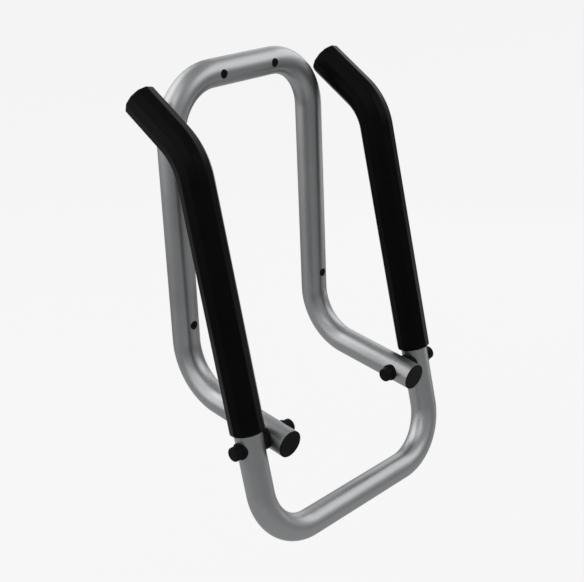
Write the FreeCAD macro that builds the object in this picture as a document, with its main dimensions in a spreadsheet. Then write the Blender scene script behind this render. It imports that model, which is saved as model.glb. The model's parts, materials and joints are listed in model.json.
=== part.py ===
import FreeCAD, Part
import math
import os

import Sketcher

# Fold-up wall hanger: a bent wall frame and a sleeved hanger that turns on the ends of its arms.
# +X is to the right for someone who faces the wall, +Y goes into the wall and +Z is up.
# The origin lies on the wall, midway between the two upper screws. The hanger is folded up.

# Driving dimensions in millimetres and degrees: name, value, meaning
SIZES = [
    ("tube_od", 28, "outside diameter of both bent tubes"),
    ("tube_wall", 1.5, "wall of both tubes"),
    ("bend_radius", 55, "centreline radius of every bend"),
    ("frame_width", 192, "wall frame, leg centre to leg centre"),
    ("frame_height", 309.4, "wall frame, lower corner up to the crossbar centre"),
    ("arm_drop", 9.4, "slope of the arms below level, degrees"),
    ("arm_length", 145, "arm, lower corner to the face of its end plug"),
    ("pivot_setback", 23, "arm, face of its end plug back to the pivot"),
    ("pivot_gap", 3.3, "space between arm and upright"),
    ("crossbar_drop", 104.8, "hanger, pivot down to the lower crossbar centre"),
    ("upright_length", 281, "hanger, pivot up to the hook corner"),
    ("lean", 11.65, "lean of the folded uprights towards the wall, degrees"),
    ("hook_angle", 45, "turn of the hooks, degrees"),
    ("hook_length", 78.8, "hook corner to the tip of the sleeve"),
    ("top_screw_spacing", 70, "distance between the two upper screws"),
    ("leg_screw_height", 66.5, "leg screws above the lower corner"),
    ("screw_hole", 5.5, "screw hole in the rear wall of the tube"),
    ("access_hole", 9, "screwdriver hole in the front wall of the tube"),
    ("screw_plug_recess", 0.5, "face of a screw plug below the front of the tube"),
    ("screw_plug_barb", 0.3, "barb of a screw plug past the edge of its hole"),
    ("screw_plug_tail", 1.8, "length of that barb"),
    ("screw_plug_wall", 1.3, "wall of a screw plug"),
    ("end_plug_flange", 1, "flange of a tube end plug"),
    ("end_plug_edge", 0.4, "rounding of that flange"),
    ("end_plug_length", 14, "part of an end plug inside the tube"),
    ("end_plug_wall", 2, "wall of that part"),
    ("end_plug_rib", 0.9, "height of the ribs round an end plug"),
    ("end_plug_rib_width", 1.2, "width of a rib"),
    ("end_plug_rib_pitch", 4, "rib to rib"),
    ("sleeve_wall", 3.2, "wall of the grip sleeves"),
    ("sleeve_start", 14, "pivot to the lower end of a sleeve"),
    ("sleeve_round", 2.6, "rounding of that end"),
    ("sleeve_tip_round", 1.6, "rounding of the tip"),
    ("sleeve_overhang", 1, "tip of a sleeve past the plug in its tube"),
    ("spacer_diameter", 20.5, "saddle washers between arm and upright"),
    ("seat_diameter", 17.2, "saddle washers under bolt heads and nuts"),
    ("seat_crown", 1.5, "their thickness over the crown of the tube"),
    ("saddle_edge", 0.4, "bevel round the flat face of the saddle washers"),
    ("bolt_diameter", 6, "pivot bolt"),
    ("hex_across", 10, "hexagons of head and nut, across flats"),
    ("head_height", 4, "bolt head"),
    ("nut_hex_height", 4.4, "hexagon of the lock nut"),
    ("nut_collar_height", 1.6, "round collar of the lock nut"),
    ("nut_collar", 9, "diameter of that collar"),
    ("bolt_end", 0.4, "bolt past its nut"),
    ("cap_diameter", 14.4, "caps over bolt heads and nuts"),
    ("cap_height", 7.8, "height of a cap above its saddle washer"),
    ("cap_roof", 1.1, "end wall of a cap"),
    ("cap_round", 1.2, "rounding of a cap"),
    ("slide_gap", 0.1, "gap between flat faces that turn on each other"),
    ("seat_gap", 0.05, "gap between pieces that sit on each other"),
    ("bolt_clearance", 0.08, "bolt to tube holes, on the radius"),
    ("washer_clearance", 0.3, "bolt to saddle washers, on the radius"),
    ("fit_clearance", 0.1, "sleeve over tube, plug in bore, cap over hexagon, on the radius"),
]

doc = FreeCAD.newDocument("WallStorageHanger")
sheet = doc.addObject("Spreadsheet::Sheet", "Sizes")
for row, (alias, number, meaning) in enumerate(SIZES, start=1):
    sheet.set(f"A{row}", meaning)
    sheet.set(f"B{row}", str(number))
    sheet.setAlias(f"B{row}", alias)
doc.recompute()

# Places and radii that follow from the driving dimensions
TUBE_R = "(Sizes.tube_od / 2)"
BORE_R = "(Sizes.tube_od / 2 - Sizes.tube_wall)"
ARM_X = "(Sizes.frame_width / 2)"
UPRIGHT_X = "(Sizes.frame_width / 2 + Sizes.tube_od + Sizes.pivot_gap)"
LEG_Y = "(-Sizes.tube_od / 2)"
CORNER_Z = "(-Sizes.frame_height)"
PIVOT_REACH = "(Sizes.arm_length - Sizes.pivot_setback)"
PIVOT_Y = f"({LEG_Y} - {PIVOT_REACH} * cos(Sizes.arm_drop))"
PIVOT_Z = f"({CORNER_Z} - {PIVOT_REACH} * sin(Sizes.arm_drop))"
ARM_TUBE = "(Sizes.arm_length - Sizes.end_plug_flange)"
ARM_END_Y = f"({LEG_Y} - {ARM_TUBE} * cos(Sizes.arm_drop))"
ARM_END_Z = f"({CORNER_Z} - {ARM_TUBE} * sin(Sizes.arm_drop))"
HOOK_TUBE = "(Sizes.hook_length - Sizes.sleeve_overhang - Sizes.end_plug_flange)"
SPACER_CROWN = "((Sizes.pivot_gap - Sizes.slide_gap) / 2)"
BOLT_R = "(Sizes.bolt_diameter / 2)"
BOLT_HOLE_R = "(Sizes.bolt_diameter / 2 + Sizes.bolt_clearance)"
HEX_CORNER_R = "(Sizes.hex_across / sqrt(3))"
HEAD_X = f"({UPRIGHT_X} + {TUBE_R} + Sizes.seat_crown + Sizes.slide_gap)"
NUT_X = f"({ARM_X} - {TUBE_R} - Sizes.seat_crown - Sizes.seat_gap)"
NUT_HEIGHT = "(Sizes.nut_hex_height + Sizes.nut_collar_height)"
SCREW_Z = f"({CORNER_Z} + Sizes.leg_screw_height)"
RIB_COUNT = 3

# Two places nearer than this are one, in millimetres
SAME_PLACE = 1e-4


def value(expression):
    """Number that an expression of the sizes comes to."""
    return float(sheet.evalExpression(expression))


def origin_plane(body, role):
    """Origin plane of a body, found by its role."""
    return next(plane for plane in body.Origin.OriginFeatures if plane.Role == role)


def new_body(label, x="0", y="0", z="0", turn="0"):
    """Body at a place, turned about the X axis, all four given as expressions."""
    body = doc.addObject("PartDesign::Body", label)
    body.Label = label
    body.Placement = FreeCAD.Placement(FreeCAD.Vector(), FreeCAD.Rotation(FreeCAD.Vector(1, 0, 0), 1))
    body.setExpression("Placement.Base.x", x)
    body.setExpression("Placement.Base.y", y)
    body.setExpression("Placement.Base.z", z)
    body.setExpression("Placement.Rotation.Angle", turn)
    return body


def new_sketch(body, name, role, offset="0"):
    """Sketch on one of the body's origin planes, moved along its normal."""
    sketch = body.newObject("Sketcher::SketchObject", name)
    sketch.AttachmentSupport = [(origin_plane(body, role), "")]
    sketch.MapMode = "FlatFace"
    sketch.setExpression("AttachmentOffset.Base.z", offset)
    return sketch


def drive(sketch, name, expression, kind, *geometry):
    """Dimension of a sketch that follows an expression."""
    index = sketch.addConstraint(Sketcher.Constraint(kind, *geometry, value(expression)))
    sketch.renameConstraint(index, name)
    sketch.setExpression("Constraints." + name, expression)


def place_point(sketch, name, geometry, position, across, up):
    """Holds one point of a sketch at two coordinates."""
    drive(sketch, name + "_across", across, "DistanceX", -1, 1, geometry, position)
    drive(sketch, name + "_up", up, "DistanceY", -1, 1, geometry, position)


def add_circle(sketch, name, radius, across="0", up="0"):
    """Circle whose radius and centre follow expressions."""
    centre = FreeCAD.Vector(value(across), value(up), 0)
    index = sketch.addGeometry(Part.Circle(centre, FreeCAD.Vector(0, 0, 1), value(radius)))
    drive(sketch, name + "_radius", radius, "Radius", index)
    if (across, up) == ("0", "0"):
        sketch.addConstraint(Sketcher.Constraint("Coincident", index, 3, -1, 1))
    else:
        place_point(sketch, name + "_centre", index, 3, across, up)


def add_outline(sketch, points):
    """Closed outline of straight lines through named points, each held at its coordinates."""
    spots = [FreeCAD.Vector(value(across), value(up), 0) for _, across, up in points]
    lines = []
    for here, there in zip(spots, spots[1:] + spots[:1]):
        lines.append(sketch.addGeometry(Part.LineSegment(here, there)))
    for line, after in zip(lines, lines[1:] + lines[:1]):
        sketch.addConstraint(Sketcher.Constraint("Coincident", line, 2, after, 1))
    for line, (name, across, up) in zip(lines, points):
        place_point(sketch, name, line, 1, across, up)


def add_bent_path(sketch, points):
    """Tube centreline through its two ends and the corners between them, rounded at each corner."""
    radius = value("Sizes.bend_radius")
    spots = [FreeCAD.Vector(value(across), value(up), 0) for across, up in points]
    starts = [spots[0]]
    ends = []
    bends = []
    for before, corner, after in zip(spots, spots[1:], spots[2:]):
        back = (before - corner).normalize()
        ahead = (after - corner).normalize()
        half = back.getAngle(ahead) / 2
        centre = corner + (back + ahead).normalize() * (radius / math.sin(half))
        ends.append(corner + back * (radius / math.tan(half)))
        starts.append(corner + ahead * (radius / math.tan(half)))
        bends.append((centre, back.cross(ahead).z < 0))
    ends.append(spots[-1])
    lines = [sketch.addGeometry(Part.LineSegment(*pair)) for pair in zip(starts, ends)]
    for number, (centre, turns_left) in enumerate(bends):
        rim = [ends[number], starts[number + 1]] if turns_left else [starts[number + 1], ends[number]]
        angles = [math.atan2((spot - centre).y, (spot - centre).x) for spot in rim]
        round_line = Part.Circle(centre, FreeCAD.Vector(0, 0, 1), radius)
        arc = sketch.addGeometry(Part.ArcOfCircle(round_line, *angles))
        first, last = (1, 2) if turns_left else (2, 1)
        sketch.addConstraint(Sketcher.Constraint("Tangent", lines[number], 2, arc, first))
        sketch.addConstraint(Sketcher.Constraint("Tangent", arc, last, lines[number + 1], 1))
        drive(sketch, f"bend_{number}", "Sizes.bend_radius", "Radius", arc)
        corner = sketch.addGeometry(Part.Point(spots[number + 1]), True)
        sketch.addConstraint(Sketcher.Constraint("PointOnObject", corner, 1, lines[number]))
        sketch.addConstraint(Sketcher.Constraint("PointOnObject", corner, 1, lines[number + 1]))
        place_point(sketch, f"corner_{number}", corner, 1, *points[number + 1])
    place_point(sketch, "start", lines[0], 1, *points[0])
    place_point(sketch, "end", lines[-1], 2, *points[-1])


def pipe(body, name, profile, path):
    """Profile carried along a path."""
    feature = body.newObject("PartDesign::AdditivePipe", name)
    feature.Profile = profile
    feature.Spine = (path, [])
    feature.Refine = True
    return feature


def pad(body, name, sketch, length, reverse=False):
    """Sketch drawn out along its normal, or against it."""
    feature = body.newObject("PartDesign::Pad", name)
    feature.Profile = sketch
    feature.setExpression("Length", length)
    feature.Reversed = reverse
    return feature


def pocket(body, name, sketch, length, reverse=False, both_ways=False):
    """Sketch cut against its normal, along it, or half the length each way. It has to remove something."""
    doc.recompute()
    before = body.Shape.Volume
    feature = body.newObject("PartDesign::Pocket", name)
    feature.Profile = sketch
    feature.setExpression("Length", length)
    feature.Reversed = reverse
    if both_ways:
        feature.SideType = "Symmetric"
    doc.recompute()
    if body.Shape.Volume >= before:
        raise RuntimeError(f"{body.Label}: {name} cuts nothing")
    return feature


def revolve(body, name, sketch, axis):
    """Sketch turned once round one of its axes."""
    feature = body.newObject("PartDesign::Revolution", name)
    feature.Profile = sketch
    feature.ReferenceAxis = (sketch, [axis])
    feature.Angle = 360
    return feature


def mirror_half(body, name, features):
    """The body's other half, on the far side of its middle plane."""
    feature = body.newObject("PartDesign::Mirrored", name)
    feature.Originals = features
    feature.MirrorPlane = (origin_plane(body, "YZ_Plane"), [""])
    body.Tip = feature
    return feature


def round_edges(body, kind, name, base, size, wanted):
    """Fillet or chamfer on the edges of a feature that a test picks out."""
    doc.recompute()
    edges = [f"Edge{i}" for i, edge in enumerate(base.Shape.Edges, start=1) if wanted(edge)]
    if not edges:
        raise RuntimeError(f"{body.Label}: {name} finds no edge")
    feature = body.newObject("PartDesign::" + kind, name)
    feature.Base = (base, edges)
    feature.setExpression("Radius" if kind == "Fillet" else "Size", size)
    return feature


def is_ring(edge, radius):
    """Whether an edge is a full circle of that radius."""
    round_line = isinstance(edge.Curve, Part.Circle) and edge.isClosed()
    return round_line and abs(edge.Curve.Radius - radius) < SAME_PLACE


def twin(body):
    """Left-hand piece, the mirror image of a right-hand one."""
    label = body.Label.replace("_right", "_left")
    image = doc.addObject("Part::Mirroring", label)
    image.Label = label
    image.Source = body
    image.Normal = FreeCAD.Vector(1, 0, 0)
    return [body, image]


def tube_profile(body, height, across, up):
    """Ring-shaped section of the tube at the start of its paths."""
    sketch = new_sketch(body, "TubeSection", "XY_Plane", height)
    add_circle(sketch, "outside", TUBE_R, across, up)
    add_circle(sketch, "bore", BORE_R, across, up)
    return sketch


def make_wall_frame_tube():
    """Inverted U flat on the wall, with its legs bent forward into two arms."""
    body = new_body("wall_frame_tube")
    join = f"({CORNER_Z} + Sizes.bend_radius)"
    section = tube_profile(body, join, ARM_X, LEG_Y)
    loop = new_sketch(body, "LegsAndCrossbar", "XZ_Plane", TUBE_R)
    left = f"(-{ARM_X})"
    add_bent_path(loop, [(ARM_X, join), (ARM_X, "0"), (left, "0"), (left, join)])
    pipe(body, "Loop", section, loop)
    arm = new_sketch(body, "LegIntoArm", "YZ_Plane", ARM_X)
    add_bent_path(arm, [(LEG_Y, join), (LEG_Y, CORNER_Z), (ARM_END_Y, ARM_END_Z)])
    mirror_half(body, "OtherArm", [pipe(body, "Arm", section, arm)])
    for name, diameter, to_rear in (("Access", "access_hole", False), ("Screw", "screw_hole", True)):
        sketch = new_sketch(body, name + "Circles", "XZ_Plane", TUBE_R)
        radius = f"Sizes.{diameter} / 2"
        top = "Sizes.top_screw_spacing / 2"
        add_circle(sketch, "top_right", radius, top, "0")
        add_circle(sketch, "top_left", radius, f"-{top}", "0")
        add_circle(sketch, "leg_right", radius, ARM_X, SCREW_Z)
        add_circle(sketch, "leg_left", radius, left, SCREW_Z)
        pocket(body, name + "Holes", sketch, "Sizes.tube_od", reverse=not to_rear)
    axle = new_sketch(body, "PivotCircle", "YZ_Plane")
    add_circle(axle, "pivot", BOLT_HOLE_R, PIVOT_Y, PIVOT_Z)
    pocket(body, "PivotHoles", axle, f"2 * ({ARM_X} + Sizes.tube_od)", both_ways=True)
    return body


def hanger_body(label):
    """Body that belongs to the hanger: its origin is on the pivot axis and its Z runs up the uprights."""
    return new_body(label, y=PIVOT_Y, z=PIVOT_Z, turn="-Sizes.lean")


def add_hook_path(sketch, start, hook_length):
    """Centreline up an upright and into its hook."""
    hook_end = (
        f"{hook_length} * sin(Sizes.hook_angle)",
        f"Sizes.upright_length + {hook_length} * cos(Sizes.hook_angle)",
    )
    add_bent_path(sketch, [("0", start), ("0", "Sizes.upright_length"), hook_end])


def make_hanger_tube():
    """U that turns on the arms: lower crossbar, two uprights and two hooks."""
    body = hanger_body("hanger_tube")
    join = "Sizes.sleeve_start"
    section = tube_profile(body, join, UPRIGHT_X, "0")
    loop = new_sketch(body, "UprightsAndCrossbar", "XZ_Plane")
    left = f"(-{UPRIGHT_X})"
    bottom = "(-Sizes.crossbar_drop)"
    add_bent_path(loop, [(UPRIGHT_X, join), (UPRIGHT_X, bottom), (left, bottom), (left, join)])
    pipe(body, "Loop", section, loop)
    hook = new_sketch(body, "UprightIntoHook", "YZ_Plane", UPRIGHT_X)
    add_hook_path(hook, join, HOOK_TUBE)
    mirror_half(body, "OtherHook", [pipe(body, "Hook", section, hook)])
    axle = new_sketch(body, "PivotCircle", "YZ_Plane")
    add_circle(axle, "pivot", BOLT_HOLE_R)
    pocket(body, "PivotHoles", axle, f"2 * ({UPRIGHT_X} + Sizes.tube_od)", both_ways=True)
    return body


def make_grip_sleeve():
    """Sleeve over one upright and its hook, rounded at both ends."""
    body = hanger_body("grip_sleeve_right")
    bore = f"({TUBE_R} + Sizes.fit_clearance)"
    outside = f"({bore} + Sizes.sleeve_wall)"
    section = new_sketch(body, "SleeveSection", "XY_Plane", "Sizes.sleeve_start")
    add_circle(section, "outside", outside, UPRIGHT_X, "0")
    add_circle(section, "bore", bore, UPRIGHT_X, "0")
    path = new_sketch(body, "SleevePath", "YZ_Plane", UPRIGHT_X)
    add_hook_path(path, "Sizes.sleeve_start", "Sizes.hook_length")
    sleeve = pipe(body, "Sleeve", section, path)
    low = value("Sizes.sleeve_start")
    rim = value(outside)

    def at_lower_end(edge):
        return is_ring(edge, rim) and abs(edge.Curve.Center.z - low) < SAME_PLACE

    def at_tip(edge):
        return is_ring(edge, rim) and edge.Curve.Center.z > value("Sizes.upright_length")

    lower = round_edges(body, "Fillet", "LowerEnd", sleeve, "Sizes.sleeve_round", at_lower_end)
    round_edges(body, "Fillet", "Tip", lower, "Sizes.sleeve_tip_round", at_tip)
    return body


def make_end_plug(label, x, y, z, turn):
    """Ribbed plug of a tube end. Its origin is on the cut end and its flange stands along -Y."""
    body = new_body(label, x, y, z, turn)
    rib_r = f"({BORE_R} - Sizes.fit_clearance)"
    core_r = f"({rib_r} - Sizes.end_plug_rib)"
    hollow_r = f"({core_r} - Sizes.end_plug_wall)"
    shell = new_sketch(body, "PlugOutline", "XY_Plane")
    add_outline(shell, [
        ("face_middle", "0", "-Sizes.end_plug_flange"),
        ("face_rim", TUBE_R, "-Sizes.end_plug_flange"),
        ("flange_back", TUBE_R, "0"),
        ("neck", core_r, "0"),
        ("core_end", core_r, "Sizes.end_plug_length"),
        ("hollow_end", hollow_r, "Sizes.end_plug_length"),
        ("hollow_floor", hollow_r, "Sizes.end_plug_wall"),
        ("floor_middle", "0", "Sizes.end_plug_wall"),
    ])
    turned = revolve(body, "Plug", shell, "V_Axis")
    face_y = value("-Sizes.end_plug_flange")
    rim = value(TUBE_R)

    def at_face(edge):
        return is_ring(edge, rim) and abs(edge.Curve.Center.y - face_y) < SAME_PLACE

    round_edges(body, "Fillet", "FaceEdge", turned, "Sizes.end_plug_edge", at_face)
    rib = new_sketch(body, "RibOutline", "XY_Plane")
    first = "Sizes.end_plug_rib_pitch / 2"
    add_outline(rib, [
        ("foot", f"({core_r} - Sizes.end_plug_wall / 2)", first),
        ("crest", rib_r, first),
        ("crest_back", rib_r, f"{first} + Sizes.end_plug_rib_width"),
        ("foot_back", f"({core_r} - Sizes.end_plug_wall / 2)", f"{first} + Sizes.end_plug_rib_width"),
    ])
    ring = revolve(body, "Rib", rib, "V_Axis")
    ribs = body.newObject("PartDesign::LinearPattern", "Ribs")
    ribs.Originals = [ring]
    ribs.Direction = (shell, ["V_Axis"])
    ribs.setExpression("Length", f"{RIB_COUNT - 1} * Sizes.end_plug_rib_pitch")
    ribs.Occurrences = RIB_COUNT
    body.Tip = ribs
    return body


def make_screw_plug(label, x, z):
    """Plug of a screwdriver hole, snapped in behind the tube wall. Its axis is Y."""
    body = new_body(label, x, LEG_Y, z)
    hole_r = "(Sizes.access_hole / 2)"
    stem_r = f"({hole_r} - Sizes.seat_gap)"
    barb_r = f"({hole_r} + Sizes.screw_plug_barb)"
    hollow_r = f"({stem_r} - Sizes.screw_plug_wall)"
    face = f"(Sizes.screw_plug_recess - {TUBE_R})"
    behind_wall = f"(Sizes.seat_gap - sqrt({BORE_R} ^ 2 - {barb_r} ^ 2))"
    tail = f"({behind_wall} + Sizes.screw_plug_tail)"
    sketch = new_sketch(body, "PlugOutline", "XY_Plane")
    add_outline(sketch, [
        ("face_middle", "0", face),
        ("face_rim", stem_r, face),
        ("stem", stem_r, behind_wall),
        ("barb", barb_r, behind_wall),
        ("tail_rim", stem_r, tail),
        ("hollow_rim", hollow_r, tail),
        ("hollow_floor", hollow_r, f"{face} + Sizes.screw_plug_wall"),
        ("floor_middle", "0", f"{face} + Sizes.screw_plug_wall"),
    ])
    revolve(body, "Plug", sketch, "V_Axis")
    return body


def make_saddle(label, on_arm, tube_x, outward, diameter, crown, bore_r):
    """Washer with one flat face, hollowed on the other to sit on a tube at the pivot."""
    turn = "Sizes.arm_drop" if on_arm else "-Sizes.lean"
    body = new_body(label, tube_x, PIVOT_Y, PIVOT_Z, turn)
    disc = new_sketch(body, "Disc", "YZ_Plane")
    add_circle(disc, "rim", f"Sizes.{diameter} / 2")
    blank = pad(body, "Blank", disc, f"{TUBE_R} + {crown}", reverse=not outward)
    flat_x = value(f"{TUBE_R} + {crown}") * (1 if outward else -1)

    def at_flat_rim(edge):
        return isinstance(edge.Curve, Part.Circle) and abs(edge.Curve.Center.x - flat_x) < SAME_PLACE

    round_edges(body, "Chamfer", "Bevel", blank, "Sizes.saddle_edge", at_flat_rim)
    seat = new_sketch(body, "TubeSeat", "XZ_Plane" if on_arm else "XY_Plane")
    add_circle(seat, "seat", f"{TUBE_R} + Sizes.seat_gap")
    pocket(body, "Seat", seat, f"Sizes.{diameter} + Sizes.tube_od", both_ways=True)
    hole = new_sketch(body, "BoltCircle", "YZ_Plane")
    add_circle(hole, "bolt", bore_r)
    pocket(body, "BoltHole", hole, f"Sizes.tube_od + 2 * {crown}", reverse=outward)
    return body


def make_pivot_bolt():
    """Hex bolt through upright and arm, its head outside."""
    body = new_body("pivot_bolt_right", y=PIVOT_Y, z=PIVOT_Z)
    shank = new_sketch(body, "Shank", "YZ_Plane", HEAD_X)
    add_circle(shank, "shank", BOLT_R)
    length = f"{HEAD_X} - {NUT_X} + {NUT_HEIGHT} + Sizes.bolt_end"
    pad(body, "ShankPad", shank, length, reverse=True)
    add_hexagon(body, "Head", HEAD_X, "Sizes.head_height")
    return body


def add_hexagon(body, name, x, height):
    """Hexagon of the bolt or nut, along X from a place on the pivot axis."""
    prism = body.newObject("PartDesign::AdditivePrism", name)
    prism.AttachmentSupport = [(origin_plane(body, "YZ_Plane"), "")]
    prism.MapMode = "FlatFace"
    prism.setExpression("AttachmentOffset.Base.z", x)
    prism.Polygon = 6
    prism.setExpression("Circumradius", HEX_CORNER_R)
    prism.setExpression("Height", height)
    return prism


def make_pivot_nut():
    """Lock nut on the inner side of the arm: a hexagon with a round collar."""
    body = new_body("pivot_nut_right", y=PIVOT_Y, z=PIVOT_Z)
    add_hexagon(body, "Hexagon", f"{NUT_X} - Sizes.nut_hex_height", "Sizes.nut_hex_height")
    collar = new_sketch(body, "Collar", "YZ_Plane", f"{NUT_X} - {NUT_HEIGHT}")
    add_circle(collar, "collar", "Sizes.nut_collar / 2")
    pad(body, "CollarPad", collar, "Sizes.nut_collar_height")
    hole = new_sketch(body, "BoltCircle", "YZ_Plane", NUT_X)
    add_circle(hole, "bolt", f"{BOLT_R} + Sizes.seat_gap")
    pocket(body, "Thread", hole, NUT_HEIGHT)
    return body


def make_cap(label, seat_x, gap, outward):
    """Round cap pressed over a hexagon, with a rounded end. Its axis is the pivot."""
    body = new_body(label, y=PIVOT_Y, z=PIVOT_Z)
    sign = "" if outward else "-"
    rim = f"({seat_x} {sign or '+'} {gap})"

    def along(distance):
        return f"({rim} {sign or '+'} ({distance}))"

    outside = "(Sizes.cap_diameter / 2)"
    inside = f"({HEX_CORNER_R} + Sizes.fit_clearance)"
    sketch = new_sketch(body, "CapOutline", "XY_Plane")
    add_outline(sketch, [
        ("end_middle", along("Sizes.cap_height"), "0"),
        ("end_rim", along("Sizes.cap_height"), outside),
        ("mouth_rim", rim, outside),
        ("mouth", rim, inside),
        ("roof_rim", along("Sizes.cap_height - Sizes.cap_roof"), inside),
        ("roof_middle", along("Sizes.cap_height - Sizes.cap_roof"), "0"),
    ])
    cap = revolve(body, "Cap", sketch, "H_Axis")
    end_x = value(along("Sizes.cap_height"))

    def at_end(edge):
        return is_ring(edge, value(outside)) and abs(edge.Curve.Center.x - end_x) < SAME_PLACE

    round_edges(body, "Fillet", "End", cap, "Sizes.cap_round", at_end)
    return body


def make_pieces():
    """Every piece of the hanger, right-hand ones followed by their mirror images."""
    hook_turn = "(Sizes.lean + Sizes.hook_angle)"
    hook_end = (
        f"{PIVOT_Y} + Sizes.upright_length * sin(Sizes.lean) + {HOOK_TUBE} * sin({hook_turn})",
        f"{PIVOT_Z} + Sizes.upright_length * cos(Sizes.lean) + {HOOK_TUBE} * cos({hook_turn})",
    )
    shaft_r = f"({BOLT_R} + Sizes.washer_clearance)"
    spacer = ("spacer_diameter", SPACER_CROWN, shaft_r)
    seat = ("seat_diameter", "Sizes.seat_crown", shaft_r)
    upright_face = f"({UPRIGHT_X} + {TUBE_R} + Sizes.seat_crown)"
    arm_face = f"({ARM_X} - {TUBE_R} - Sizes.seat_crown)"
    right_hand = [
        make_end_plug("arm_end_plug_right", ARM_X, ARM_END_Y, ARM_END_Z, "Sizes.arm_drop"),
        make_end_plug("hook_end_plug_right", UPRIGHT_X, *hook_end, f"-(90 + {hook_turn})"),
        make_screw_plug("screw_plug_top_right", "Sizes.top_screw_spacing / 2", "0"),
        make_screw_plug("screw_plug_leg_right", ARM_X, SCREW_Z),
        make_grip_sleeve(),
        make_saddle("arm_saddle_outer_right", True, ARM_X, True, *spacer),
        make_saddle("arm_saddle_inner_right", True, ARM_X, False, *seat),
        make_saddle("upright_saddle_inner_right", False, UPRIGHT_X, False, *spacer),
        make_saddle("upright_saddle_outer_right", False, UPRIGHT_X, True, *seat),
        make_pivot_bolt(),
        make_pivot_nut(),
        make_cap("bolt_cap_right", upright_face, "Sizes.slide_gap", True),
        make_cap("nut_cap_right", arm_face, "Sizes.seat_gap", False),
    ]
    pieces = [make_wall_frame_tube(), make_hanger_tube()]
    for body in right_hand:
        pieces += twin(body)
    return pieces


pieces = make_pieces()
doc.recompute()

for item in doc.Objects:
    if "Invalid" in item.State or "Error" in item.State:
        raise RuntimeError(f"{item.Label} failed: {item.State}")
for piece in pieces:
    if piece.Shape.isNull() or not piece.Shape.isValid() or len(piece.Shape.Solids) != 1:
        raise RuntimeError(f"{piece.Label} is not one valid solid")

os.makedirs("parts", exist_ok=True)
for piece in pieces:
    piece.Shape.exportStep(f"parts/{piece.Label}.step")
    print(piece.Label, round(piece.Shape.Volume), "mm3")
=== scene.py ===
import json
import math

import bpy
import numpy as np
from mathutils import Matrix, Vector


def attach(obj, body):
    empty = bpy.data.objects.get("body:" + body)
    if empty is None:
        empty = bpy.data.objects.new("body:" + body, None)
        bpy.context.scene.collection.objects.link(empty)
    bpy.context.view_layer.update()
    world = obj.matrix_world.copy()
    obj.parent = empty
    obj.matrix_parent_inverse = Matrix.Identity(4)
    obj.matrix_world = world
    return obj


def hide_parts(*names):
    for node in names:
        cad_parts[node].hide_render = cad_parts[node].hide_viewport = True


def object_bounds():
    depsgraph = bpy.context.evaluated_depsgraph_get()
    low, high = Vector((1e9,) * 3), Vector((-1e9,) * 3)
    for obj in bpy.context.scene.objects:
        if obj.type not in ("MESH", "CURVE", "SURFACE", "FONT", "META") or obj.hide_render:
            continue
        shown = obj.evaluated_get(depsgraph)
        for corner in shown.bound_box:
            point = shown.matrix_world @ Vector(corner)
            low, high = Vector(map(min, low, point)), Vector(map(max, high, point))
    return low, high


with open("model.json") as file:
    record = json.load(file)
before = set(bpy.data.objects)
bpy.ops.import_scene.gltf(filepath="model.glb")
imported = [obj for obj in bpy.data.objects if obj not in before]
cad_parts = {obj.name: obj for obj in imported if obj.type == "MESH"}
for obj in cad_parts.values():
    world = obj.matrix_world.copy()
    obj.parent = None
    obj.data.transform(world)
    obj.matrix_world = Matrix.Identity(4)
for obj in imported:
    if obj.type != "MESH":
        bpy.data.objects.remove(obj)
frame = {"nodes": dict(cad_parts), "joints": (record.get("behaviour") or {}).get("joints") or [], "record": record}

cad_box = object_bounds()

# Looks of the folding wall hanger: silver tubes, black rubber sleeves, black moulded fittings.
# A name that ends in MM is in millimetres, and other lengths are in metres.
MM = 0.001

# Sizes of the sleeves, as the solids have them. The outside has flats, whose corners stand a little
# proud of the round solid and whose middles lie as far within it
UPRIGHT_X_MM = 127.3
UPRIGHT_MM = 281.0
HOOK_MM = 78.8
BEND_MM = 55.0
SLEEVE_START_MM = 14.0
SLEEVE_BORE_MM = 14.1
SLEEVE_WALL_MM = 3.2
SLEEVE_OUTER_MM = SLEEVE_BORE_MM + SLEEVE_WALL_MM
SLEEVE_FLATS = 12
SLEEVE_CORNER_MM = 17.6
LOWER_ROUND_MM = 2.6
TIP_ROUND_MM = 1.6
MOUTH_BEVEL_MM = 0.35
MOUTH_MM = SLEEVE_BORE_MM + MOUTH_BEVEL_MM
LEAN = math.radians(11.65)
HOOK_TURN = math.radians(45.0)
BEND_TANGENT_MM = BEND_MM * math.tan(HOOK_TURN / 2)
STRAIGHT_MM = UPRIGHT_MM - SLEEVE_START_MM - BEND_TANGENT_MM
SLEEVE_MM = STRAIGHT_MM + BEND_MM * HOOK_TURN + HOOK_MM - BEND_TANGENT_MM

# How closely the sleeves are drawn: rows along them, how far the rows keep from a rounding, and the
# points on one flat as shares of its turn, close to its two corners and in its middle
ROUND_ROWS = 6
OUTSIDE_ROWS = 150
BORE_ROWS = 60
ROW_MARGIN_MM = 0.5
FLAT_SHARES = (0.05, 0.10, 0.50, 0.90, 0.95)

# Silver powder coat on the tubes. Stops are places on the noise between the two tones
COAT_DARK = "7B7C7D"
COAT_LIGHT = "838485"
COAT_EDGE = "E4E4E4"
COAT_STOPS = (0.35, 0.95)
COAT_ROUGH = 0.36
COAT_ROUGH_SPREAD = 0.03
FLAKE_MM = 0.9
FLAKE_SHARE = 0.25
PEEL_MM = 3.5
PEEL_HEIGHT_MM = 0.02
PEEL_STRENGTH = 0.35
TONE_MM = 45.0

# Black rubber and black plastic
BLACK_STOPS = (0.3, 0.7)
BLACK_IOR = 1.5
BLACK_DRIFT_MM = 30.0
GRAIN_HEIGHT_MM = 0.02
GRAIN_STRENGTH = 0.4
GRAIN_ROUGH_SPREAD = 0.05

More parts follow.
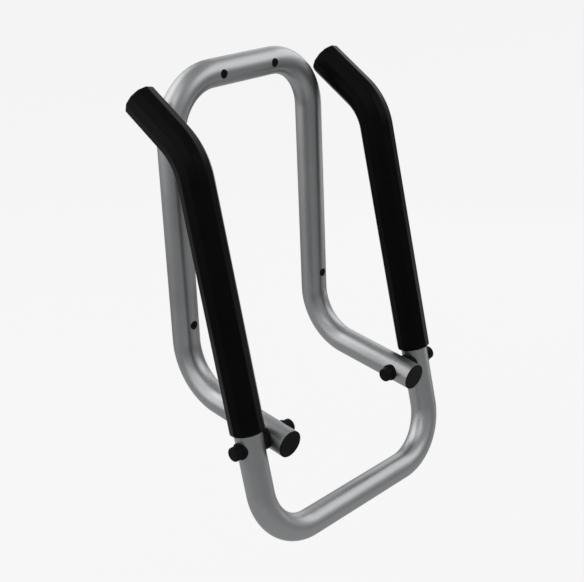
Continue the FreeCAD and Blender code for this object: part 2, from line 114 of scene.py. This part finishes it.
# Zinc plate on the bolts and nuts
ZINC_DARK = "B4B6BA"
ZINC_LIGHT = "C8CACC"
ZINC_CLOUD_MM = 2.5
ZINC_SMOOTH = 0.22
ZINC_CLOUDY = 0.38

# Octaves of a noise: few where it is a single grain, more where a tone drifts
GRAIN_DETAIL = 2.0
DRIFT_DETAIL = 3.0

# The photograph's camera: where it stands, how it is turned, and its lens on a 36 mm sensor
EYE = (-0.79356, -0.85312, 0.21054)
AZIMUTH = math.radians(-45.4922)
ELEVATION = math.radians(21.3619)
ROLL = math.radians(-2.3243)
LENS_MM = 71.5516
SENSOR_MM = 36.0

# Studio: the pale ground that the camera sees, its level for the light that the world and the floor give,
# the floor's place below the hanger and its size in metres, and how much of a shadow it takes
GROUND = "F5F5F5"
STUDIO_LEVEL = 0.50
FLOOR_LEVEL = 0.52
FLOOR_DROP = 0.30
FLOOR_HALF = 30.0
FLOOR_SHADOW = 0.02

# Soft boxes round the middle of the hanger
MIDDLE = (0.0, -0.08, -0.21)
SOFT_BOXES = [
    # name, distance in metres, azimuth, elevation, width and height in degrees, radiance
    ("left_box", 1.8, -110, 42, 91, 64, 1.22),
    ("left_box_core", 1.8, -65, 43, 15, 36, 0.95),
    ("left_fill", 1.8, -123, 26, 28, 56, 0.38),
    ("left_low", 1.8, -132, 3, 105, 22, 1.14),
    ("right_strip", 4.0, 57, 36, 76, 36, 1.97),
    ("right_low", 1.8, 115, 14, 44, 51, 1.22),
    ("rear_box", 1.8, -168, 37, 57, 45, 2.15),
    ("right_rim", 1.8, 74, -16, 38, 12, 1.90),
    ("left_rim", 1.8, -157, -21, 95, 18, 0.50),
    ("floor_board", 0.5, 0, -90, 127, 127, 0.47),
]


def linear(colour):
    """Linear colour of an sRGB hex value, by the sRGB curve, with full alpha."""
    parts = [int(colour[i:i + 2], 16) / 255 for i in (0, 2, 4)]
    return tuple(p / 12.92 if p <= 0.04045 else ((p + 0.055) / 1.055) ** 2.4 for p in parts) + (1.0,)


def per_metre(size_mm):
    """Texture scale at which one feature is that many millimetres wide."""
    return 1 / (size_mm * MM)


def add(tree, kind, inputs=(), **settings):
    """Node of a tree with its settings; an input that is a socket is linked, any other is set."""
    made = tree.nodes.new("ShaderNode" + kind)
    for name, setting in settings.items():
        setattr(made, name, setting)
    for name, given in dict(inputs).items():
        if isinstance(given, bpy.types.NodeSocket):
            tree.links.new(given, made.inputs[name])
        else:
            made.inputs[name].default_value = given
    return made


def new_material(name):
    """Empty material, with its node tree and its output node."""
    material = bpy.data.materials.new(name)
    material.use_nodes = True
    material.node_tree.nodes.clear()
    output = add(material.node_tree, "OutputMaterial")
    return material, material.node_tree, output


def silver_powder_coat():
    """Steel tube under a satin powder coat with aluminium flake: soft reflections, a faint orange peel."""
    material, tree, output = new_material("silver_powder_coat")
    place = add(tree, "TexCoord").outputs["Object"]
    # flakes are some 0.05 mm wide, and drawn larger so that they show at all
    flake = add(tree, "TexVoronoi", {"Vector": place, "Scale": per_metre(FLAKE_MM)})
    peel = add(tree, "TexNoise", {"Vector": place, "Scale": per_metre(PEEL_MM), "Detail": GRAIN_DETAIL})
    tone = add(tree, "TexNoise", {"Vector": place, "Scale": per_metre(TONE_MM), "Detail": DRIFT_DETAIL})
    sparkle = add(tree, "SeparateColor", {"Color": flake.outputs["Color"]})
    mixed = add(tree, "Math", {
        0: sparkle.outputs["Red"], 1: FLAKE_SHARE, 2: tone.outputs["Fac"],
    }, operation="MULTIPLY_ADD")
    colour = add(tree, "ValToRGB", {"Fac": mixed.outputs["Value"]})
    for stop, position, shade in zip(colour.color_ramp.elements, COAT_STOPS, (COAT_DARK, COAT_LIGHT)):
        stop.position = position
        stop.color = linear(shade)
    rough = add(tree, "MapRange", {
        "Value": tone.outputs["Fac"],
        "To Min": COAT_ROUGH - COAT_ROUGH_SPREAD, "To Max": COAT_ROUGH + COAT_ROUGH_SPREAD,
    })
    bump = add(tree, "Bump", {
        "Height": peel.outputs["Fac"], "Distance": PEEL_HEIGHT_MM * MM, "Strength": PEEL_STRENGTH,
    })
    shader = add(tree, "BsdfPrincipled", {
        "Base Color": colour.outputs["Color"], "Roughness": rough.outputs["Result"],
        "Normal": bump.outputs["Normal"], "Metallic": 1.0, "Specular Tint": linear(COAT_EDGE),
    })
    tree.links.new(shader.outputs["BSDF"], output.inputs["Surface"])
    return material


def black_moulding(name, dark, light, grain_mm, rough, specular):
    """Black rubber or plastic from a mould: a fine grain, and a tone that drifts between two near blacks."""
    material, tree, output = new_material(name)
    place = add(tree, "TexCoord").outputs["Object"]
    # the grain of the mould is some 0.1 mm wide, and drawn coarser so that it shows
    grain = add(tree, "TexNoise", {"Vector": place, "Scale": per_metre(grain_mm), "Detail": GRAIN_DETAIL})
    drift = add(tree, "TexNoise", {
        "Vector": place, "Scale": per_metre(BLACK_DRIFT_MM), "Detail": DRIFT_DETAIL,
    })
    colour = add(tree, "ValToRGB", {"Fac": drift.outputs["Fac"]})
    for stop, position, shade in zip(colour.color_ramp.elements, BLACK_STOPS, (dark, light)):
        stop.position = position
        stop.color = linear(shade)
    gloss = add(tree, "MapRange", {
        "Value": grain.outputs["Fac"],
        "To Min": rough - GRAIN_ROUGH_SPREAD, "To Max": rough + GRAIN_ROUGH_SPREAD,
    })
    bump = add(tree, "Bump", {
        "Height": grain.outputs["Fac"], "Distance": GRAIN_HEIGHT_MM * MM, "Strength": GRAIN_STRENGTH,
    })
    shader = add(tree, "BsdfPrincipled", {
        "Base Color": colour.outputs["Color"], "Roughness": gloss.outputs["Result"],
        "Normal": bump.outputs["Normal"], "IOR": BLACK_IOR, "Specular IOR Level": specular,
    })
    tree.links.new(shader.outputs["BSDF"], output.inputs["Surface"])
    return material


def zinc_plate():
    """Bright zinc plate on the pivot bolts and nuts: pale grey metal with a slightly cloudy gloss."""
    material, tree, output = new_material("zinc_plated_steel")
    place = add(tree, "TexCoord").outputs["Object"]
    cloud = add(tree, "TexNoise", {
        "Vector": place, "Scale": per_metre(ZINC_CLOUD_MM), "Detail": DRIFT_DETAIL,
    })
    colour = add(tree, "ValToRGB", {"Fac": cloud.outputs["Fac"]})
    for stop, shade in zip(colour.color_ramp.elements, (ZINC_DARK, ZINC_LIGHT)):
        stop.color = linear(shade)
    gloss = add(tree, "MapRange", {
        "Value": cloud.outputs["Fac"], "To Min": ZINC_SMOOTH, "To Max": ZINC_CLOUDY,
    })
    shader = add(tree, "BsdfPrincipled", {
        "Base Color": colour.outputs["Color"], "Roughness": gloss.outputs["Result"], "Metallic": 1.0,
    })
    tree.links.new(shader.outputs["BSDF"], output.inputs["Surface"])
    return material


def sleeve_section():
    """Closed outline of a sleeve's wall, as distances along the sleeve and radii: lower end, outside, tip
    and bore. The roundings are quarter circles, the distance by the sine and the radius by the cosine."""
    low = np.linspace(-math.pi / 2, 0, ROUND_ROWS)
    tip = np.linspace(0, math.pi / 2, ROUND_ROWS)
    highest = SLEEVE_MM - ROW_MARGIN_MM
    outside = np.linspace(LOWER_ROUND_MM + ROW_MARGIN_MM, highest - TIP_ROUND_MM, OUTSIDE_ROWS)
    bore = np.linspace(highest - MOUTH_BEVEL_MM, MOUTH_BEVEL_MM + ROW_MARGIN_MM, BORE_ROWS)
    along = np.concatenate([
        [0.0],
        LOWER_ROUND_MM * (1 + np.sin(low)),
        outside,
        SLEEVE_MM - TIP_ROUND_MM * (1 - np.sin(tip)),
        [SLEEVE_MM, SLEEVE_MM - MOUTH_BEVEL_MM],
        bore,
        [MOUTH_BEVEL_MM],
    ])
    radius = np.concatenate([
        [MOUTH_MM],
        SLEEVE_OUTER_MM - LOWER_ROUND_MM * (1 - np.cos(low)),
        np.full(OUTSIDE_ROWS, SLEEVE_OUTER_MM),
        SLEEVE_OUTER_MM - TIP_ROUND_MM * (1 - np.cos(tip)),
        [MOUTH_MM, SLEEVE_BORE_MM],
        np.full(BORE_ROWS, SLEEVE_BORE_MM),
        [SLEEVE_BORE_MM],
    ])
    return along, radius


def sleeve_centreline(along):
    """Height above the pivot, throw towards the wall and angle turned, at distances along a sleeve. It runs
    straight up, turns through the hook angle on the bend radius, and runs on straight: the bend adds the
    radius times the sine of the angle turned so far to the height, and the radius times one minus its
    cosine to the throw."""
    turned = np.clip((along - STRAIGHT_MM) / BEND_MM, 0, HOOK_TURN)
    beyond = np.maximum(along - STRAIGHT_MM - BEND_MM * HOOK_TURN, 0)
    upright = SLEEVE_START_MM + np.minimum(along, STRAIGHT_MM)
    height = upright + BEND_MM * np.sin(turned) + beyond * math.cos(HOOK_TURN)
    throw = BEND_MM * (1 - np.cos(turned)) + beyond * math.sin(HOOK_TURN)
    return height, throw, turned


def sleeve_flats():
    """Angles of the points round a sleeve, and how far its outside reaches there: the corner radius times
    the cosine of half a flat's turn, over the cosine of the angle from the flat's middle."""
    flat = 2 * math.pi / SLEEVE_FLATS
    angle = (flat * (np.arange(SLEEVE_FLATS)[:, None] + np.array(FLAT_SHARES))).ravel()
    reach = SLEEVE_CORNER_MM * math.cos(flat / 2) / np.cos(angle % flat - flat / 2)
    return angle, reach


def sleeve_surface(side):
    """Points of one sleeve: each point of its section goes to the centreline at that distance and stands off
    it by that radius, square to the centreline. Outside, the radius follows the flats, and across the end
    faces that fades out towards the round bore. All of it then leans towards the wall with the upright."""
    along, radius = sleeve_section()
    height, throw, turned = sleeve_centreline(along)
    angle, reach = sleeve_flats()
    outside = np.clip((radius - MOUTH_MM) / (SLEEVE_OUTER_MM - MOUTH_MM), 0, 1)
    radius = radius[:, None] + outside[:, None] * (reach - SLEEVE_OUTER_MM)
    off = radius * np.cos(angle)
    x = side * UPRIGHT_X_MM + radius * np.sin(angle)
    y = throw[:, None] + off * np.cos(turned)[:, None]
    z = height[:, None] - off * np.sin(turned)[:, None]
    leaned_y = y * math.cos(LEAN) + z * math.sin(LEAN)
    leaned_z = z * math.cos(LEAN) - y * math.sin(LEAN)
    pivot = np.array(frame["joints"][0]["pos_m"])
    return np.stack([x * MM, leaned_y * MM, leaned_z * MM], axis=-1) + pivot


def ring_mesh(name, points):
    """Mesh of a grid of points that closes on itself both ways, so it has neither seam nor pole."""
    rows, columns = points.shape[:2]
    index = np.arange(rows * columns).reshape(rows, columns)
    after = np.roll(index, -1, axis=0)
    corners = [index, after, np.roll(after, -1, axis=1), np.roll(index, -1, axis=1)]
    faces = np.stack(corners, axis=-1).reshape(-1, 4)
    mesh = bpy.data.meshes.new(name)
    mesh.from_pydata(points.reshape(-1, 3).tolist(), [], faces.tolist())
    mesh.polygons.foreach_set("use_smooth", np.ones(len(faces), dtype=bool))
    mesh.validate()
    made = bpy.data.objects.new(name, mesh)
    bpy.context.scene.collection.objects.link(made)
    return made


def soft_box(name, distance, azimuth, elevation, wide, high, radiance):
    """Rectangular lamp that faces the hanger from a direction, as wide and high as it looks from there.
    Its power is the radiance times pi times its area."""
    lamp = bpy.data.lights.new(name, "AREA")
    lamp.shape = "RECTANGLE"
    lamp.size = 2 * distance * math.tan(math.radians(wide) / 2)
    lamp.size_y = 2 * distance * math.tan(math.radians(high) / 2)
    lamp.energy = radiance * math.pi * lamp.size * lamp.size_y
    a, e = math.radians(azimuth), math.radians(elevation)
    away = Vector((math.sin(a) * math.cos(e), -math.cos(a) * math.cos(e), math.sin(e)))
    made = bpy.data.objects.new(name, lamp)
    made.location = Vector(MIDDLE) + away * distance
    made.rotation_euler = away.to_track_quat("Z", "Y").to_euler()
    made.visible_camera = False
    bpy.context.scene.collection.objects.link(made)


def light_world():
    """World that camera, mirror and glass rays see as the pale ground, at a plain level for the rest."""
    world = bpy.data.worlds.new("studio")
    world.use_nodes = True
    tree = world.node_tree
    tree.nodes.clear()
    path = add(tree, "LightPath")
    seen = add(tree, "Math", {
        0: path.outputs["Is Camera Ray"], 1: path.outputs["Is Transmission Ray"],
    }, operation="MAXIMUM")
    shown = add(tree, "Math", {
        0: seen.outputs["Value"], 1: path.outputs["Is Glossy Ray"],
    }, operation="MAXIMUM")
    level = add(tree, "Math", {0: shown.outputs["Value"], 1: STUDIO_LEVEL}, operation="MAXIMUM")
    shade = add(tree, "Background", {"Color": linear(GROUND), "Strength": level.outputs["Value"]})
    add(tree, "OutputWorld", {"Surface": shade.outputs["Background"]})
    bpy.context.scene.world = world


def make_floor(lowest):
    """Plain pale floor below the hanger. Camera and glass rays see the ground with a soft shadow on it.
    All other rays see it dimmer, as the hanger's tubes show it."""
    material, tree, output = new_material("pale_floor")
    path = add(tree, "LightPath")
    seen = add(tree, "Math", {
        0: path.outputs["Is Camera Ray"], 1: path.outputs["Is Transmission Ray"],
    }, operation="MAXIMUM")
    ground = add(tree, "Emission", {"Color": linear(GROUND), "Strength": 1 - FLOOR_SHADOW})
    shadow = add(tree, "BsdfDiffuse", {"Color": (FLOOR_SHADOW,) * 3 + (1.0,)})
    pale = add(tree, "AddShader", {0: ground.outputs["Emission"], 1: shadow.outputs["BSDF"]})
    dim = add(tree, "Emission", {"Color": linear(GROUND), "Strength": FLOOR_LEVEL})
    both = add(tree, "MixShader", {
        "Fac": seen.outputs["Value"], 1: dim.outputs["Emission"], 2: pale.outputs["Shader"],
    })
    tree.links.new(both.outputs["Shader"], output.inputs["Surface"])
    corners = [(-1, -1), (1, -1), (1, 1), (-1, 1)]
    points = [(FLOOR_HALF * x, FLOOR_HALF * y, lowest - FLOOR_DROP) for x, y in corners]
    mesh = bpy.data.meshes.new("floor")
    mesh.from_pydata(points, [], [(0, 1, 2, 3)])
    mesh.materials.append(material)
    floor = bpy.data.objects.new("floor", mesh)
    bpy.context.scene.collection.objects.link(floor)


def make_camera():
    """Camera at the photograph's place: its axes from azimuth, elevation and a roll about the line of sight.
    Its back faces away from the hanger, along the azimuth and up by the elevation."""
    outward = Vector((math.sin(AZIMUTH), -math.cos(AZIMUTH), 0))
    back = outward * math.cos(ELEVATION) + Vector((0, 0, math.sin(ELEVATION)))
    level = Vector((math.cos(AZIMUTH), math.sin(AZIMUTH), 0))
    above = back.cross(level)
    right = math.cos(ROLL) * level + math.sin(ROLL) * above
    up = math.cos(ROLL) * above - math.sin(ROLL) * level
    camera = bpy.data.cameras.new("camera")
    camera.sensor_width = SENSOR_MM
    camera.lens = LENS_MM
    made = bpy.data.objects.new("camera", camera)
    turn = Matrix((right, up, back)).transposed().to_4x4()
    made.matrix_world = Matrix.Translation(EYE) @ turn
    bpy.context.scene.collection.objects.link(made)
    bpy.context.scene.camera = made


finishes = {
    "silver_tube": silver_powder_coat(),
    # smooth rubber: near black, with pale strips where a flat mirrors a lamp
    "black_sleeve": black_moulding(
        "black_rubber", dark="050505", light="070707", grain_mm=0.6, rough=0.30, specular=0.024),
    # moulded plastic: a little greyer and duller than the rubber
    "black_plastic": black_moulding(
        "black_moulded_plastic", dark="0F0F0F", light="141414", grain_mm=0.8, rough=0.35, specular=0.012),
    "zinc_steel": zinc_plate(),
}
for piece in frame["record"]["subparts"]:
    mesh = frame["nodes"][piece["node"]].data
    mesh.materials.clear()
    mesh.materials.append(finishes[piece["material_slot"]])

for word, side in (("left", -1), ("right", 1)):
    sleeve = ring_mesh("sleeve_" + word, sleeve_surface(side))
    sleeve.data.materials.append(finishes["black_sleeve"])
    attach(sleeve, "hanger")
    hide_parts("grip_sleeve_" + word)

for box in SOFT_BOXES:
    soft_box(*box)
light_world()
make_floor(cad_box[0].z)
make_camera()
bpy.context.scene.view_settings.view_transform = "Standard"
